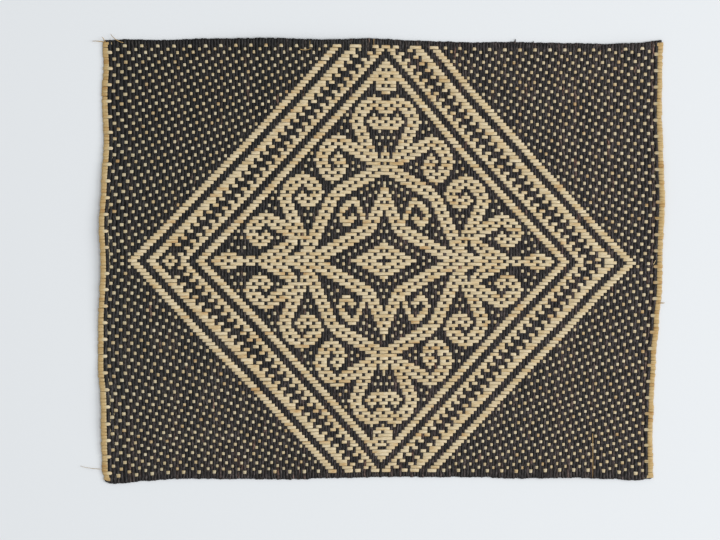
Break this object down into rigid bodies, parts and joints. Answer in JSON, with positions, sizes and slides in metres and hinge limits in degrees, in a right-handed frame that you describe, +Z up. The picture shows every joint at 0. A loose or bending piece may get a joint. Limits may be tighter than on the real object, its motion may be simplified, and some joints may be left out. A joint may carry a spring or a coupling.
{
  "type": "rattan table mat",
  "caption": "Flat rectangular table mat, two-way plaited from dyed and natural rattan strips in a diamond pattern, with turned-over edges.",
  "frame": {"origin": "on the surface the mat lies on, under the middle of its outline's bounding box", "axes": "+X to the mat's right, along its length; +Y to its top edge; +Z up, out of its patterned face"},
  "size_m": [0.4528, 0.3564, 0.0043],
  "materials": {
    "dyed_rattan": "satin",
    "natural_rattan": "satin"
  },
  "bodies": {
    "root": {"mat": "dyed_rattan"}
  },
  "joints": []
}
